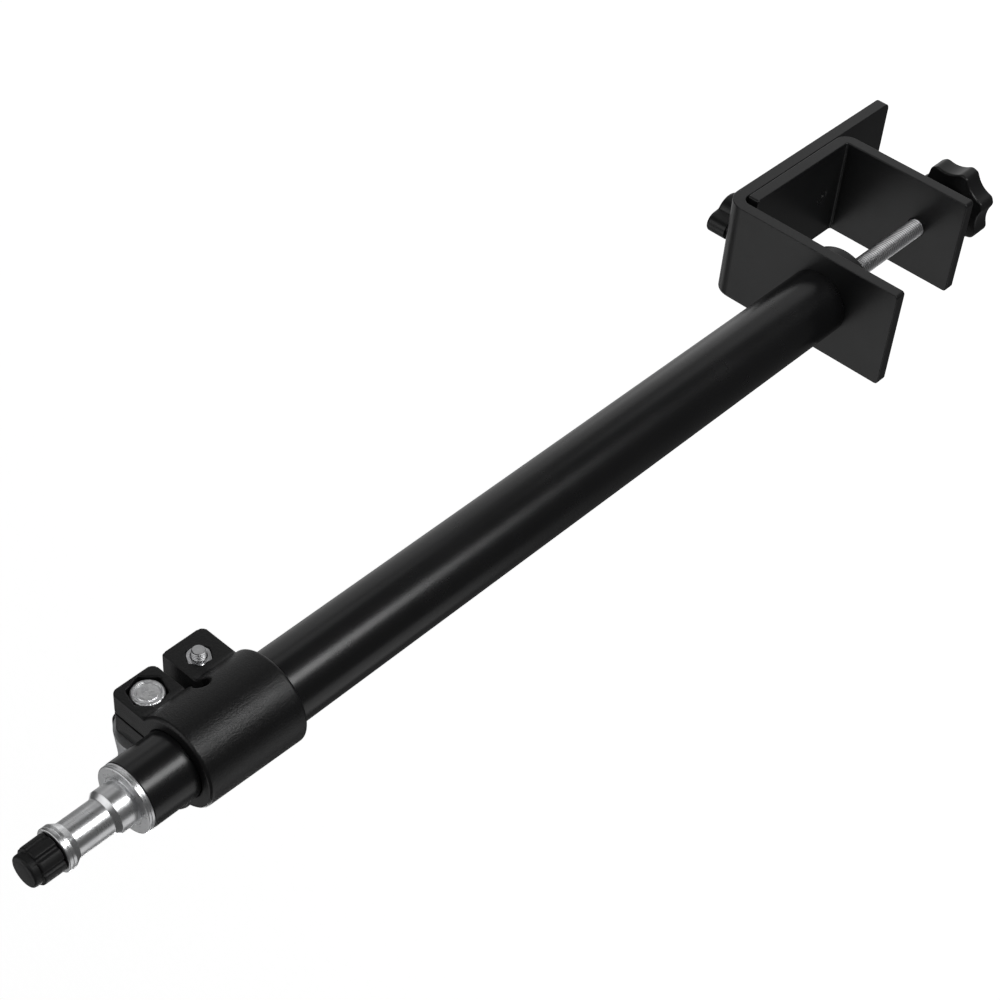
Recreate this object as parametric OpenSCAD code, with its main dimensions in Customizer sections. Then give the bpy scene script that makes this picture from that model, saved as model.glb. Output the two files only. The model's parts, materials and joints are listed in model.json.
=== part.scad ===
// Telescopic stand with a table clamp: two bent steel plates make the clamp's jaws, a two-stage
// tube stands on the upper jaw, and a spigot with a capped thread ends the inner tube.
// Millimetres. The origin is on the tube's axis, at the underside of the upper jaw, where the
// table top bears. +Z runs up the tube, the clamp's mouth opens towards -Y.

/* [Clamp plates] */
// Width of both plates
plate_w = 45; // [40:0.5:60]
// Thickness of both plates
plate_t = 5.3; // [4.8:0.1:6]
// Reach of the upper jaw in front of the tube's axis
upper_reach = 35; // [25:0.5:45]
// Distance from the tube's axis to the inner face of the upper plate's back
back_y = 46.5; // [42:0.5:60]
// Drop of the upper plate's back below the jaw
back_drop = 105; // [102:1:130]
// Inner bend radius of the upper plate
upper_bend_r = 4; // [1:0.5:4]
// Reach of the lower jaw in front of the tube's axis
lower_reach = 19.8; // [15:0.2:30]
// Opening between the two jaws with the lower one pushed up
jaw_gap = 66.2; // [64:0.2:68]
// Gap between the lower plate's top end and the upper plate's bend
lower_end_gap = 0.1; // [0.1:0.1:4]
// Inner bend radius of the lower plate
lower_bend_r = 1; // [0.5:0.5:5]
// Corner radius at both jaw tips
tip_corner_r = 1.5; // [0.5:0.5:5]
// Corner radius at the free end of the upper plate's back
upper_end_r = 3; // [0.5:0.5:5]
// Corner radius at the free end of the lower plate's back
lower_end_r = 1; // [0.5:0.5:5]

/* [Jaw slide] */
// How far the lower jaw slides down
jaw_travel = 33; // [20:1:35]
// Distance of the back screw below the upper jaw
back_screw_drop = 17.3; // [17:0.1:24]
// Distance of the guide pin below the upper jaw
guide_pin_drop = 54; // [50:0.5:58]
// Radius of the guide pin's riveted tail
pin_tail_r = 3; // [2:0.1:3.4]

/* [Clamp screw and pad] */
// Thread radius of the clamp screw, the back screw and the base screw
screw_r = 4; // [3.5:0.1:4.5]
// Distance of the clamp screw's axis behind the tube's axis
screw_y = 1; // [-2:0.5:4]
// Drop of the pad's face below the upper jaw
pad_drop = 4.5; // [4.5:0.1:6]
// Radius of the pad
pad_r = 16.4; // [14:0.2:18]
// Thickness of the pad's disc
pad_t = 5.5; // [5:0.1:7]
// Thickness of the pad's rubber facing
facing_t = 2; // [1:0.1:3]
// Radius of the pad's hub
hub_r = 7; // [6:0.1:9]
// Length of the pad's hub below the disc
hub_l = 4.5; // [4:0.1:6]
// Radius of the screw's head inside the pad
tip_head_r = 3.4; // [3.2:0.1:3.5]
// Length of the screw's head inside the pad
tip_head_l = 3.5; // [2.5:0.1:3.8]
// Radius of the screw's neck below that head
tip_neck_r = 2.6; // [2:0.1:2.8]
// Distance of the clamp knob's outer face below the upper jaw
knob_end_drop = 99.7; // [98:0.1:110]

/* [Small knobs] */
// Radius of the clamp knob
knob_r = 17.6; // [15:0.1:20]
// Number of hollows round the clamp knob's edge
knob_hollows = 7; // [3:1:9]
// Depth of the hollows
hollow_depth = 2.6; // [0.5:0.1:4]
// Radius of the hollows
hollow_r = 12.5; // [8:0.5:30]
// Turn of the clamp knob
knob_turn = 10; // [0:1:51]
// Thickness of the clamp knob and the back knob
knob_t = 9.7; // [8:0.1:12]
// Radius of the clamp knob's boss
boss_r = 8.5; // [6:0.5:10]
// Height of the clamp knob's boss
clamp_boss_h = 3.5; // [2:0.1:5]
// Radius of the back knob's hub
back_hub_r = 7.8; // [6:0.1:10]
// Reach of the back knob's two wings
back_wing_r = 14.2; // [12:0.1:18]
// Width of the back knob's two wings
back_wing_w = 8.4; // [6:0.1:12]
// Turn of the back knob, from wings along the tube
back_turn = 7; // [0:1:90]
// Radius of the back knob's boss
back_boss_r = 7.5; // [5:0.1:7.7]
// Height of the back knob's boss
back_boss_h = 1; // [0.5:0.1:3]
// Thickness left at the bottom of the knobs' blind holes
knob_floor = 2.2; // [1.5:0.1:4]
// Radius of the back washer
back_washer_r = 9; // [8.8:0.1:12]
// Thickness of the back washer
back_washer_t = 1.5; // [1:0.1:2]

/* [Base joint] */
// Length of the threaded plug in the outer tube's foot
plug_l = 24; // [20:0.5:30]
// Length of the countersunk base screw
base_screw_l = 20; // [14:0.5:22]
// Radius of the base screw's head
base_head_r = 8; // [6.5:0.1:8.2]
// Depth of the base screw's head below the jaw's underside
base_recess = 0.2; // [0.1:0.1:0.4]
// Width across the flats of the base screw's socket
socket_af = 5; // [4:0.5:6]
// Depth of the base screw's socket
socket_depth = 3; // [2:0.1:3.5]

/* [Mast] */
// Radius of the outer tube
outer_r = 14; // [13.9:0.1:15]
// Wall of the outer tube
outer_wall = 1; // [0.8:0.1:1.2]
// Length of the outer tube
outer_l = 319.7; // [250:0.1:450]
// Radius of the inner tube
inner_r = 12.5; // [12.2:0.1:12.6]
// Wall of the inner tube
inner_wall = 1.2; // [1:0.1:2]
// Length of inner tube that shows above the collar with the mast pushed in
inner_show = 18.7; // [16:0.1:60]
// Length of the guide bush below the inner tube
bush_l = 12; // [8:0.5:20]
// Length of the bush's neck inside the inner tube
bush_neck_l = 14; // [8:0.5:20]
// Radius of the bore through the guide bush
bush_bore_r = 8; // [4:0.5:9]
// Gap between the guide bush and the plug with the mast pushed in
bush_rest_gap = 0.7; // [0.4:0.1:5]

/* [Lock collar] */
// Length of outer tube inside the collar
collar_seat = 19.1; // [18.5:0.1:20]
// Length of the collar
collar_l = 41.4; // [40:0.1:50]
// Radius of the collar at its foot
collar_foot_r = 17.9; // [17.2:0.1:19]
// Radius of the collar at its mouth
collar_mouth_r = 17.2; // [16.6:0.1:19]
// Chamfer of the collar's two rims
collar_chamfer = 0.8; // [0.3:0.1:1]
// Width of both pairs of ears together with the slit
ears_w = 17.3; // [16:0.1:20]
// Width of the slit between the ears
slit_w = 1; // [0.6:0.1:3]
// Distance of the foot ears' edge from the tube's axis
foot_ear_y = 32; // [30:0.1:34]
// Distance of the mouth ears' edge from the tube's axis
mouth_ear_y = 31; // [30:0.1:34]
// Corner radius of the foot ears
foot_corner_r = 2.5; // [0.5:0.1:4]
// Corner radius of the mouth ears
mouth_corner_r = 3; // [0.5:0.1:4]
// Distance from the collar's foot to the foot ears
ear_start = 0.5; // [0.2:0.1:1]
// Distance from the collar's foot to the cross cut
cross_cut_start = 18.7; // [18:0.1:18.8]
// Width of the cross cut
cross_cut_w = 4.3; // [3:0.1:5]
// Radius of the relief hole at the cross cut's end
relief_r = 3; // [2.5:0.1:3.5]
// Distance of the relief hole from the tube's axis
relief_y = 9.7; // [9:0.1:11]
// Distance of both collar bolts from the tube's axis
bolt_y = 23.1; // [22.5:0.1:24]

/* [Collar bolt] */
// Distance from the collar's foot to the foot bolt
foot_bolt_start = 10.3; // [9:0.1:11]
// Radius of the foot bolt
foot_bolt_r = 2.5; // [2:0.1:3]
// Length of the foot bolt under its head
foot_bolt_l = 16; // [14:0.5:18]
// Distance of the foot bolt's tip from the middle plane
foot_tip_x = 11.5; // [10:0.1:13]
// Radius of the foot bolt's head
foot_head_r = 4.25; // [4:0.05:5]
// Height of the foot bolt's head
foot_head_h = 5; // [3:0.1:6]
// Chamfer of the foot bolt's tip
foot_tip_chamfer = 0.6; // [0.2:0.1:1]
// Width across the flats of the foot bolt's socket
foot_socket_af = 4; // [3:0.5:5]
// Depth of the foot bolt's socket
foot_socket_depth = 2.5; // [1.5:0.1:2.8]
// Width across the flats of the foot nut
foot_nut_af = 8; // [7:0.1:9]
// Height of the foot nut
foot_nut_h = 4; // [3:0.1:4.4]

/* [Lock bolt and knob] */
// Radius of the lock bolt
lock_bolt_r = 3; // [2.5:0.1:3.5]
// Length of the lock bolt under its head
lock_bolt_l = 33; // [32:0.5:34]
// Radius of the lock bolt's round head
lock_head_r = 5.9; // [5:0.1:6.5]
// Height of the lock bolt's round head
lock_head_h = 2.4; // [1.5:0.1:3]
// Width of the head's rounded rim
lock_head_rim = 1; // [0.5:0.1:1.3]
// Depth of the head's hexagonal seat in the ear
lock_head_seat = 3; // [0.5:0.1:3.4]
// Width across the flats of that seat
lock_seat_af = 12.4; // [12:0.1:13]
// Turn of that seat
lock_seat_turn = 15; // [0:1:59]
// Width of the square neck under the head
lock_neck_w = 6; // [5.8:0.1:7]
// Length of the square neck under the head
lock_neck_l = 2.9; // [2:0.1:3.2]
// Length of the tapered spacer
spacer_l = 12.2; // [11.8:0.1:12.8]
// Radius of the spacer at the ears
spacer_ear_r = 12; // [10:0.1:13]
// Radius of the spacer at the knob
spacer_knob_r = 10.8; // [9:0.1:13]
// Thickness of the lock knob
lock_knob_t = 9; // [8.8:0.1:12]
// Radius of the lock knob's hub
lock_hub_r = 11; // [9:0.1:12]
// Reach of the lock knob's two wings
lock_wing_r = 21.5; // [18:0.5:26]
// Width of the lock knob's two wings
lock_wing_w = 9; // [7:0.5:14]
// Turn of the lock knob, from wings square to the tube
lock_turn = 10; // [0:5:90]
// Width across the flats of the insert nut
lock_nut_af = 10; // [9:0.1:11]
// Height of the insert nut
lock_nut_h = 5; // [4:0.1:6]

/* [Spigot] */
// Radius of the spigot's flange
flange_r = 12.4; // [12:0.1:13]
// Thickness of the spigot's flange
flange_t = 2.4; // [1.5:0.1:4]
// Radius of the spigot
spigot_r = 8; // [7.5:0.1:8.5]
// Length of the full-width stretch next to the flange
spigot_foot_l = 6.9; // [5:0.1:10]
// Radius of the spigot's waist
waist_r = 6.5; // [5.5:0.1:7.2]
// Length of the waist between its two slopes
waist_l = 13.6; // [10:0.1:20]
// Length of the slope from the foot to the waist
foot_slope_l = 1.8; // [1:0.1:4]
// Length of the slope from the waist to the lip
lip_slope_l = 2.5; // [1:0.1:4]
// Thickness of the spigot's lip
lip_t = 2.8; // [2:0.1:5]
// Chamfer of the flange and the lip
spigot_chamfer = 0.5; // [0.2:0.1:0.8]
// Length of the spigot's plug inside the inner tube
spigot_plug_l = 20; // [10:0.5:30]
// Radius of the thread stud
stud_r = 3.175; // [3:0.005:3.5]
// Length of the thread stud inside the spigot
stud_in_l = 10; // [8:0.5:14]
// Length of the thread stud above the spigot
stud_out_l = 9.7; // [8:0.1:10]
// Chamfer of the stud's tip
stud_chamfer = 0.6; // [0.2:0.1:0.8]

/* [Thread cap] */
// Radius of the cap over its ribs
cap_r = 6.9; // [6.6:0.1:8]
// Number of ribs round the cap
cap_ribs = 8; // [4:2:8]
// Radius of the cap between its ribs
cap_groove_r = 6.2; // [5.8:0.1:6.4]
// Width of the cap's ribs
cap_rib_w = 3.9; // [2.5:0.1:4.2]
// Turn of the ribs
cap_turn = 6; // [0:1:44]
// Length of the cap's ribs
cap_skirt_l = 8.3; // [6:0.1:10]
// Length of the cap above its ribs
cap_crown_l = 3; // [2.5:0.1:5]
// Radius of the cap's core where the ribs end
cap_core_r = 5.9; // [5.6:0.1:6.1]
// Radius of the cap's end face
cap_end_r = 5.3; // [4:0.1:5.5]
// Gap between the cap and the spigot
cap_gap = 0.3; // [0.2:0.1:0.5]
// Radial gap between the cap and the stud
cap_fit = 0.1; // [0.05:0.05:0.3]

/* [Fits] */
// Radial clearance of a turning or sliding round piece
run_fit = 0.05; // [0.02:0.01:0.1]
// Radial clearance between the collar's mouth and the inner tube
mouth_fit = 0.1; // [0.05:0.01:0.2]
// Radial clearance of a pressed or clamped round piece
press_fit = 0.02; // [0.01:0.01:0.05]
// Radial clearance of a bolt in a plain hole
bolt_fit = 0.1; // [0.05:0.05:0.3]
// Gap between flat faces that slide or turn on each other
face_gap = 0.1; // [0.05:0.05:0.2]
// Gap between the guide pin or back screw and the end of the slot
slot_end_gap = 0.3; // [0.1:0.1:1]
// Gap between the spacer and the collar's wall
wall_gap = 0.4; // [0.3:0.1:1]
// Gap around a nut in its pocket
nut_fit = 0.1; // [0.05:0.05:0.2]
// Gap round the head of the clamp screw inside the pad
tip_fit = 0.2; // [0.1:0.05:0.25]

/* [Hidden] */
$fn = 64;
// Overshoot that keeps cuts from ending in a face
cut = 1;

// Jaw plates
lower_back_y = back_y - face_gap - plate_t;
lower_top = upper_bend_r + lower_end_gap;
pin_body_l = plate_t - slot_end_gap + face_gap;

// Clamp screw, from the pad down to the knob
facing_top_z = -pad_drop;
pad_top_z = facing_top_z - facing_t;
pad_bottom_z = pad_top_z - pad_t;
hub_bottom_z = pad_bottom_z - hub_l;
tip_top_z = pad_top_z - (pad_t + hub_l - tip_head_l) / 2 + tip_fit;
tip_neck_z = tip_top_z - tip_head_l;
screw_top_z = hub_bottom_z - tip_fit;
knob_end_z = -knob_end_drop;
clamp_knob_z = knob_end_z + knob_t;
clamp_boss_z = clamp_knob_z + clamp_boss_h;
screw_end_z = knob_end_z + knob_floor + face_gap;

// Back knob, outwards from the upper plate
back_outer_y = back_y + plate_t;
back_washer_y = back_outer_y + face_gap;
back_boss_y = back_washer_y + back_washer_t + face_gap;
back_knob_y = back_boss_y + back_boss_h;
back_screw_end_y = back_knob_y + knob_t - knob_floor - face_gap;

// Mast
outer_bore_r = outer_r - outer_wall;
inner_bore_r = inner_r - inner_wall;
outer_top_z = plate_t + outer_l;
bush_z = plate_t + plug_l + bush_rest_gap;
inner_foot_z = bush_z + bush_l + face_gap;

// Collar
collar_z = outer_top_z - collar_seat;
collar_top_z = collar_z + collar_l;
cross_cut_z = collar_z + cross_cut_start;
cross_cut_top_z = cross_cut_z + cross_cut_w;
foot_ear_z = collar_z + ear_start;
foot_bolt_z = collar_z + foot_bolt_start;
lock_bolt_z = (cross_cut_top_z + collar_top_z) / 2;
ear_x = ears_w / 2;
foot_head_x = foot_tip_x - foot_bolt_l;
lock_head_x = ear_x - lock_head_seat;
lock_tip_x = lock_head_x - lock_bolt_l;
spacer_x = -ear_x - face_gap;
lock_knob_x = spacer_x - spacer_l - face_gap;

// Spigot
inner_top_z = collar_top_z + inner_show;
flange_top_z = inner_top_z + flange_t;
spigot_foot_z = flange_top_z + spigot_foot_l;
waist_z = spigot_foot_z + foot_slope_l;
waist_top_z = waist_z + waist_l;
lip_z = waist_top_z + lip_slope_l;
spigot_top_z = lip_z + lip_t;
cap_z = spigot_top_z + cap_gap;
stud_top_z = spigot_top_z + stud_out_l;

// Circumradius of a hexagon from its width across the flats
function hex_r(af) = af / sqrt(3);

// Puts a piece that is drawn along +Z on an axis along +X or along +Y
module along_x(x, y, z) {
    translate([x, y, z]) rotate([0, 90, 0]) children();
}
module along_y(x, y, z) {
    translate([x, y, z]) rotate([-90, 0, 0]) children();
}

// Hexagon prism with flats top and bottom, given by its width across the flats
module hexagon(af, h) {
    cylinder(r = hex_r(af), h = h, $fn = 6);
}

// Tube between two heights
module tube(r, bore, z, l) {
    translate([0, 0, z])
        difference() {
            cylinder(r = r, h = l);
            translate([0, 0, -cut]) cylinder(r = bore, h = l + 2 * cut);
        }
}

// Plate with one bend: the jaw lies on Z = 0 and the back hangs down behind inner_y
module bent_plate(reach, inner_y, drop, bend_r) {
    rotate([90, 0, 90])
        translate([0, 0, -plate_w / 2])
            linear_extrude(plate_w) {
                translate([-reach, 0]) square([reach + inner_y - bend_r, plate_t]);
                translate([inner_y, -drop]) square([plate_t, drop - bend_r]);
                translate([inner_y - bend_r, -bend_r])
                    intersection() {
                        difference() {
                            circle(r = bend_r + plate_t);
                            circle(r = bend_r);
                        }
                        square(bend_r + plate_t);
                    }
            }
}

// What a rounded corner takes off: the corner is at the origin, the plate towards -X +Y
module corner_waste(r) {
    translate([-r, r, -cut])
        linear_extrude(plate_t + 2 * cut)
            difference() {
                translate([0, -r - cut]) square(r + cut);
                circle(r = r);
            }
}

// Both corners of the jaw's tip and both corners at the back's free end
module plate_corners(reach, inner_y, drop, end_r) {
    for (side = [0, 1])
        mirror([side, 0, 0]) {
            translate([plate_w / 2, -reach, 0]) corner_waste(tip_corner_r);
            translate([plate_w / 2, inner_y + plate_t, -drop]) rotate([90, 0, 0]) corner_waste(end_r);
        }
}

// Wing knob seen from its outer side: a round hub and a bar with two round ends along Y
module wing_outline(hub_r, wing_r, wing_w) {
    end_r = wing_w / 2;
    circle(r = hub_r);
    square([wing_w, 2 * (wing_r - end_r)], center = true);
    for (side = [-1, 1])
        translate([0, side * (wing_r - end_r)]) circle(r = end_r);
}

module upper_bracket() {
    slot_r = screw_r + run_fit;
    slot_top = -back_screw_drop + slot_end_gap;
    slot_bottom = -guide_pin_drop - jaw_travel - slot_end_gap;
    sink_r = base_head_r + base_recess + press_fit;
    hole_r = screw_r + bolt_fit;
    color("#26272a")
        difference() {
            bent_plate(upper_reach, back_y, back_drop, upper_bend_r);
            plate_corners(upper_reach, back_y, back_drop, upper_end_r);
            for (z = [slot_top, slot_bottom])
                along_y(0, back_y - cut, z) cylinder(r = slot_r, h = plate_t + 2 * cut);
            translate([-slot_r, back_y - cut, slot_bottom])
                cube([2 * slot_r, plate_t + 2 * cut, slot_top - slot_bottom]);
            translate([0, 0, -cut]) cylinder(r = hole_r, h = plate_t + 2 * cut);
            translate([0, 0, -cut]) cylinder(r1 = sink_r + cut, r2 = hole_r, h = sink_r + cut - hole_r);
        }
}

module lower_bracket() {
    color("#232427")
        difference() {
            translate([0, 0, -jaw_gap])
                mirror([0, 0, 1])
                    difference() {
                        bent_plate(lower_reach, lower_back_y, jaw_gap - lower_top, lower_bend_r);
                        plate_corners(lower_reach, lower_back_y, jaw_gap - lower_top, lower_end_r);
                    }
            translate([0, screw_y, -jaw_gap - plate_t - cut])
                cylinder(r = screw_r + run_fit, h = plate_t + 2 * cut);
            along_y(0, lower_back_y - cut, -back_screw_drop)
                cylinder(r = screw_r + run_fit, h = plate_t + 2 * cut);
            along_y(0, lower_back_y - cut, -guide_pin_drop)
                cylinder(r = pin_tail_r + press_fit, h = plate_t + 2 * cut);
        }
}

module guide_pin() {
    color("#26272a") {
        along_y(0, lower_back_y, -guide_pin_drop) cylinder(r = pin_tail_r, h = plate_t + cut);
        along_y(0, lower_back_y + plate_t, -guide_pin_drop) cylinder(r = screw_r, h = pin_body_l);
    }
}

module outer_tube() {
    color("#1c1d1f") tube(outer_r, outer_bore_r, plate_t, outer_l);
}

module tube_plug() {
    color("#a9abae") tube(outer_bore_r - press_fit, screw_r + press_fit, plate_t, plug_l);
}

module base_screw() {
    head_h = base_head_r - screw_r;
    color("#8e9093")
        difference() {
            translate([0, 0, base_recess]) {
                cylinder(r1 = base_head_r, r2 = screw_r, h = head_h);
                cylinder(r = screw_r, h = base_screw_l);
            }
            translate([0, 0, base_recess - cut]) hexagon(socket_af, socket_depth + cut);
        }
}

module clamp_screw() {
    color("#b4b6b9")
        translate([0, screw_y, 0]) {
            translate([0, 0, tip_neck_z]) cylinder(r = tip_head_r, h = tip_head_l);
            translate([0, 0, screw_end_z]) cylinder(r = tip_neck_r, h = tip_top_z - screw_end_z);
            translate([0, 0, screw_end_z]) cylinder(r = screw_r, h = screw_top_z - screw_end_z);
        }
}

module clamp_knob() {
    hollow_x = knob_r - hollow_depth + hollow_r;
    color("#17181a")
        difference() {
            translate([0, screw_y, knob_end_z]) {
                cylinder(r = boss_r, h = knob_t + clamp_boss_h);
                linear_extrude(knob_t)
                    difference() {
                        circle(r = knob_r);
                        for (hollow = [0:knob_hollows - 1])
                            rotate(knob_turn + hollow * 360 / knob_hollows)
                                translate([hollow_x, 0]) circle(r = hollow_r);
                    }
            }
            translate([0, screw_y, knob_end_z + knob_floor])
                cylinder(r = screw_r + press_fit, h = clamp_boss_z - knob_end_z);
        }
}

module pressure_pad() {
    color("#1d1e20")
        translate([0, screw_y, 0])
            difference() {
                union() {
                    translate([0, 0, pad_bottom_z]) cylinder(r = pad_r, h = pad_t);
                    translate([0, 0, hub_bottom_z]) cylinder(r = hub_r, h = hub_l + cut);
                }
                translate([0, 0, hub_bottom_z - cut])
                    cylinder(r = tip_neck_r + tip_fit, h = tip_neck_z - hub_bottom_z + cut);
                translate([0, 0, tip_neck_z - tip_fit])
                    cylinder(r = tip_head_r + tip_fit, h = tip_head_l + 2 * tip_fit);
            }
}

module pad_facing() {
    color("#2a2a2b")
        translate([0, screw_y, pad_top_z]) cylinder(r = pad_r, h = facing_t);
}

module back_knob() {
    color("#17181a")
        difference() {
            along_y(0, back_boss_y, -back_screw_drop) {
                cylinder(r = back_boss_r, h = back_boss_h + cut);
                translate([0, 0, back_boss_h])
                    rotate(-back_turn) linear_extrude(knob_t) wing_outline(back_hub_r, back_wing_r, back_wing_w);
            }
            along_y(0, back_boss_y - cut, -back_screw_drop)
                cylinder(r = screw_r + press_fit, h = back_boss_h + knob_t - knob_floor + cut);
        }
}

module back_screw() {
    start_y = lower_back_y + slot_end_gap;
    color("#b4b6b9")
        along_y(0, start_y, -back_screw_drop) cylinder(r = screw_r, h = back_screw_end_y - start_y);
}

module back_washer() {
    color("#b4b6b9")
        along_y(0, 0, -back_screw_drop)
            tube(back_washer_r, screw_r + bolt_fit, back_washer_y, back_washer_t);
}

// Collar wall with chamfered rims, solid inside
module collar_wall() {
    rotate_extrude()
        polygon([
            [0, collar_z],
            [collar_foot_r - collar_chamfer, collar_z],
            [collar_foot_r, collar_z + collar_chamfer],
            [collar_mouth_r, collar_top_z - collar_chamfer],
            [collar_mouth_r - collar_chamfer, collar_top_z],
            [0, collar_top_z]
        ]);
}

// One pair of ears: side view with two rounded corners, as wide as both ears and the slit
module ears(z, top_z, edge_y, corner_r) {
    rotate([90, 0, 90])
        translate([0, 0, -ear_x])
            linear_extrude(ears_w) {
                translate([0, z]) square([edge_y - corner_r, top_z - z]);
                translate([0, z + corner_r]) square([edge_y, top_z - z - 2 * corner_r]);
                for (corner_z = [z + corner_r, top_z - corner_r])
                    translate([edge_y - corner_r, corner_z]) circle(r = corner_r);
            }
}

module lock_collar() {
    far_y = max(foot_ear_y, mouth_ear_y) + cut;
    far_x = max(collar_foot_r, collar_mouth_r) + cut;
    color("#2b2c2e")
        difference() {
            union() {
                collar_wall();
                ears(foot_ear_z, cross_cut_z + cut, foot_ear_y, foot_corner_r);
                ears(cross_cut_top_z, collar_top_z, mouth_ear_y, mouth_corner_r);
            }
            translate([0, 0, collar_z - cut]) cylinder(r = outer_r + press_fit, h = collar_seat + face_gap + cut);
            translate([0, 0, collar_z]) cylinder(r = inner_r + mouth_fit, h = collar_l + cut);
            translate([-slit_w / 2, 0, collar_z - cut]) cube([slit_w, far_y, collar_l + 2 * cut]);
            translate([-far_x, relief_y, cross_cut_z]) cube([2 * far_x, far_y, cross_cut_w]);
            along_x(-far_x, relief_y, cross_cut_z + cross_cut_w / 2) cylinder(r = relief_r, h = 2 * far_x);
            along_x(-far_x, bolt_y, foot_bolt_z) cylinder(r = foot_bolt_r + bolt_fit, h = 2 * far_x);
            along_x(ear_x - foot_nut_h, bolt_y, foot_bolt_z) hexagon(foot_nut_af + 2 * nut_fit, far_x);
            along_x(foot_head_x - far_x, bolt_y, foot_bolt_z) cylinder(r = foot_head_r + bolt_fit, h = far_x);
            along_x(-far_x, bolt_y, lock_bolt_z) cylinder(r = lock_bolt_r + bolt_fit, h = 2 * far_x);
            along_x(lock_head_x, bolt_y, lock_bolt_z) rotate(lock_seat_turn) hexagon(lock_seat_af, far_x);
            translate([lock_head_x - lock_neck_l - nut_fit, bolt_y - lock_neck_w / 2 - nut_fit,
                       lock_bolt_z - lock_neck_w / 2 - nut_fit])
                cube([lock_neck_l + cut, lock_neck_w + 2 * nut_fit, lock_neck_w + 2 * nut_fit]);
        }
}

module collar_bolt() {
    shank_l = foot_bolt_l - foot_tip_chamfer;
    color("#a9abae") {
        along_x(foot_head_x - foot_head_h, bolt_y, foot_bolt_z)
            difference() {
                cylinder(r = foot_head_r, h = foot_head_h);
                translate([0, 0, -cut]) hexagon(foot_socket_af, foot_socket_depth + cut);
            }
        along_x(foot_head_x, bolt_y, foot_bolt_z) {
            cylinder(r = foot_bolt_r, h = shank_l);
            translate([0, 0, shank_l])
                cylinder(r1 = foot_bolt_r, r2 = foot_bolt_r - foot_tip_chamfer, h = foot_tip_chamfer);
        }
    }
}

module collar_nut() {
    color("#a9abae")
        along_x(ear_x - foot_nut_h, bolt_y, foot_bolt_z)
            difference() {
                hexagon(foot_nut_af, foot_nut_h);
                translate([0, 0, -cut]) cylinder(r = foot_bolt_r + press_fit, h = foot_nut_h + 2 * cut);
            }
}

module lock_bolt() {
    rim_step = lock_head_rim * (1 - cos(45));
    color("#c3c5c8") {
        along_x(lock_head_x, bolt_y, lock_bolt_z)
            rotate_extrude()
                polygon([
                    [0, 0],
                    [lock_head_r, 0],
                    [lock_head_r, lock_head_h - lock_head_rim],
                    [lock_head_r - rim_step, lock_head_h - rim_step],
                    [lock_head_r - lock_head_rim, lock_head_h],
                    [0, lock_head_h]
                ]);
        translate([lock_head_x - lock_neck_l, bolt_y - lock_neck_w / 2, lock_bolt_z - lock_neck_w / 2])
            cube([lock_neck_l, lock_neck_w, lock_neck_w]);
        along_x(lock_tip_x, bolt_y, lock_bolt_z) cylinder(r = lock_bolt_r, h = lock_bolt_l);
    }
}

// The spacer's foot is hollowed to clear the collar's round wall, which keeps it from turning
module lock_spacer() {
    color("#9a9c9f")
        difference() {
            along_x(spacer_x - spacer_l, bolt_y, lock_bolt_z)
                cylinder(r1 = spacer_knob_r, r2 = spacer_ear_r, h = spacer_l);
            along_x(spacer_x - spacer_l - cut, bolt_y, lock_bolt_z)
                cylinder(r = lock_bolt_r + bolt_fit, h = spacer_l + 2 * cut);
            translate([0, 0, collar_z]) cylinder(r = collar_foot_r + wall_gap, h = 2 * collar_l);
        }
}

module lock_knob() {
    far_l = lock_knob_t + cut;
    bolt_room = lock_knob_x - lock_tip_x + 2 * bolt_fit;
    color("#17181a")
        difference() {
            along_x(lock_knob_x - lock_knob_t, bolt_y, lock_bolt_z)
                rotate(-lock_turn) linear_extrude(lock_knob_t) wing_outline(lock_hub_r, lock_wing_r, lock_wing_w);
            along_x(lock_knob_x - bolt_room, bolt_y, lock_bolt_z)
                cylinder(r = lock_bolt_r + bolt_fit, h = far_l);
            along_x(lock_knob_x - lock_nut_h - face_gap, bolt_y, lock_bolt_z)
                hexagon(lock_nut_af + 2 * nut_fit, far_l);
        }
}

module lock_nut() {
    color("#b08d4a")
        along_x(lock_knob_x - lock_nut_h - face_gap, bolt_y, lock_bolt_z)
            difference() {
                hexagon(lock_nut_af, lock_nut_h);
                translate([0, 0, -cut]) cylinder(r = lock_bolt_r + run_fit, h = lock_nut_h + 2 * cut);
            }
}

module inner_tube() {
    color("#1c1d1f") tube(inner_r, inner_bore_r, inner_foot_z, inner_top_z - inner_foot_z);
}

module guide_bush() {
    color("#d8d6cf")
        difference() {
            union() {
                translate([0, 0, bush_z]) cylinder(r = outer_bore_r - run_fit, h = bush_l);
                translate([0, 0, bush_z]) cylinder(r = inner_bore_r - run_fit, h = bush_l + bush_neck_l);
            }
            translate([0, 0, bush_z - cut]) cylinder(r = bush_bore_r, h = bush_l + bush_neck_l + 2 * cut);
        }
}

module spigot() {
    color("#c9cbce")
        difference() {
            rotate_extrude()
                polygon([
                    [0, inner_top_z - spigot_plug_l],
                    [inner_bore_r - press_fit, inner_top_z - spigot_plug_l],
                    [inner_bore_r - press_fit, inner_top_z],
                    [flange_r, inner_top_z],
                    [flange_r, flange_top_z - spigot_chamfer],
                    [flange_r - spigot_chamfer, flange_top_z],
                    [spigot_r, flange_top_z],
                    [spigot_r, spigot_foot_z],
                    [waist_r, waist_z],
                    [waist_r, waist_top_z],
                    [spigot_r, lip_z],
                    [spigot_r, spigot_top_z - spigot_chamfer],
                    [spigot_r - spigot_chamfer, spigot_top_z],
                    [0, spigot_top_z]
                ]);
            translate([0, 0, spigot_top_z - stud_in_l])
                cylinder(r = stud_r + press_fit, h = stud_in_l + cut);
        }
}

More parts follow.
